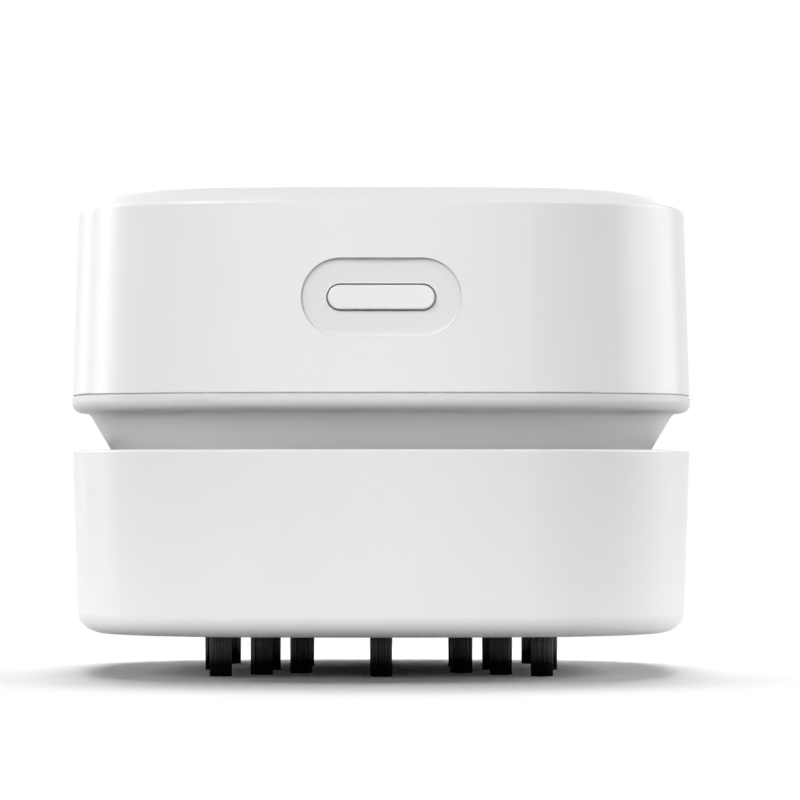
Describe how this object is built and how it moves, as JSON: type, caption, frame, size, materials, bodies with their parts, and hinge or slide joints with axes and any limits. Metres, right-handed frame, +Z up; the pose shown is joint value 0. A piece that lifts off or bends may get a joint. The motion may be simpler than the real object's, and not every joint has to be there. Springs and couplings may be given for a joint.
{
  "type": "desktop mini vacuum cleaner",
  "caption": "Small rounded-square desktop vacuum cleaner with a front push button, an open air gap round its waist, a pull-off dust cup and black brush tufts underneath.",
  "frame": {"origin": "on the desk, in the middle of the footprint, level with the tips of the brush tufts", "axes": "+Z up through the top face; -Y out of the front with the push button; +X to the right seen from the front"},
  "size_m": [0.08, 0.08, 0.061],
  "materials": {
    "shell_plastic": "satin",
    "housing_plastic": "satin",
    "cup_plastic": "satin",
    "button_plastic": "satin",
    "brush_plate_plastic": "satin",
    "bristle": "matt nylon",
    "seal_rubber": "matt",
    "inner_plastic": "matt",
    "filter_plastic": "matt",
    "filter_mesh": "woven",
    "filter_foam": "open foam",
    "motor_steel": "zinc plated",
    "screw_steel": "plated",
    "bronze": "sintered",
    "magnet": "matt",
    "copper": "enamelled",
    "laminations": "matt",
    "fan_plastic": "satin",
    "battery_wrap": "foil",
    "foam_pad": "closed foam",
    "board": "solder mask",
    "component": "moulded",
    "socket_steel": "bright",
    "switch_plastic": "moulded",
    "lead_red": "insulation",
    "lead_black": "insulation",
    "lead_blue": "insulation"
  },
  "bodies": {
    "cup": {"dust_cup": "cup_plastic", "brush_plate": "brush_plate_plastic", "inner_tufts": "bristle", "middle_tufts": "bristle", "corner_tufts": "bristle", "inlet_tube": "inner_plastic", "bin_collar": "inner_plastic", "seal_ring": "seal_rubber"},
    "head": {"upper_shell": "shell_plastic", "chassis": "housing_plastic", "motor_plate": "inner_plastic", "chassis_screws": "screw_steel", "filter_frame": "filter_plastic", "filter_mesh": "filter_mesh", "filter_sponge": "filter_foam", "motor_can": "motor_steel", "motor_end_cap": "inner_plastic", "front_bushing": "bronze", "rear_bushing": "bronze", "motor_magnets": "magnet", "motor_brushes": "copper", "motor_screws": "screw_steel", "battery_bracket": "inner_plastic", "battery_cell": "battery_wrap", "battery_foam": "foam_pad", "circuit_board": "board", "board_components": "component", "board_screws": "screw_steel", "charging_board": "board", "charging_board_screws": "screw_steel", "charging_socket": "socket_steel", "tact_switch": "switch_plastic", "battery_leads": "lead_red", "motor_leads": "lead_black", "charging_leads": "lead_blue"},
    "rotor": {"motor_shaft": "screw_steel", "armature_core": "laminations", "armature_windings": "copper", "commutator": "copper", "impeller": "fan_plastic"},
    "button": {"power_button": "button_plastic", "switch_plunger": "switch_plastic"}
  },
  "joints": [
    {"name": "head_lift", "type": "slide", "parent": "cup", "child": "head", "axis": [0, 0, 1], "range_m": [0, 0.045]},
    {"name": "fan_spin", "type": "hinge", "parent": "head", "child": "rotor", "pos_m": [0, 0, 0.04], "axis": [0, 0, 1], "continuous": true},
    {"name": "button_press", "type": "slide", "parent": "head", "child": "button", "axis": [0, 1, 0], "range_m": [0, 0.0005], "stiffness_N_per_m": 2000, "springref_m": -0.0003}
  ]
}
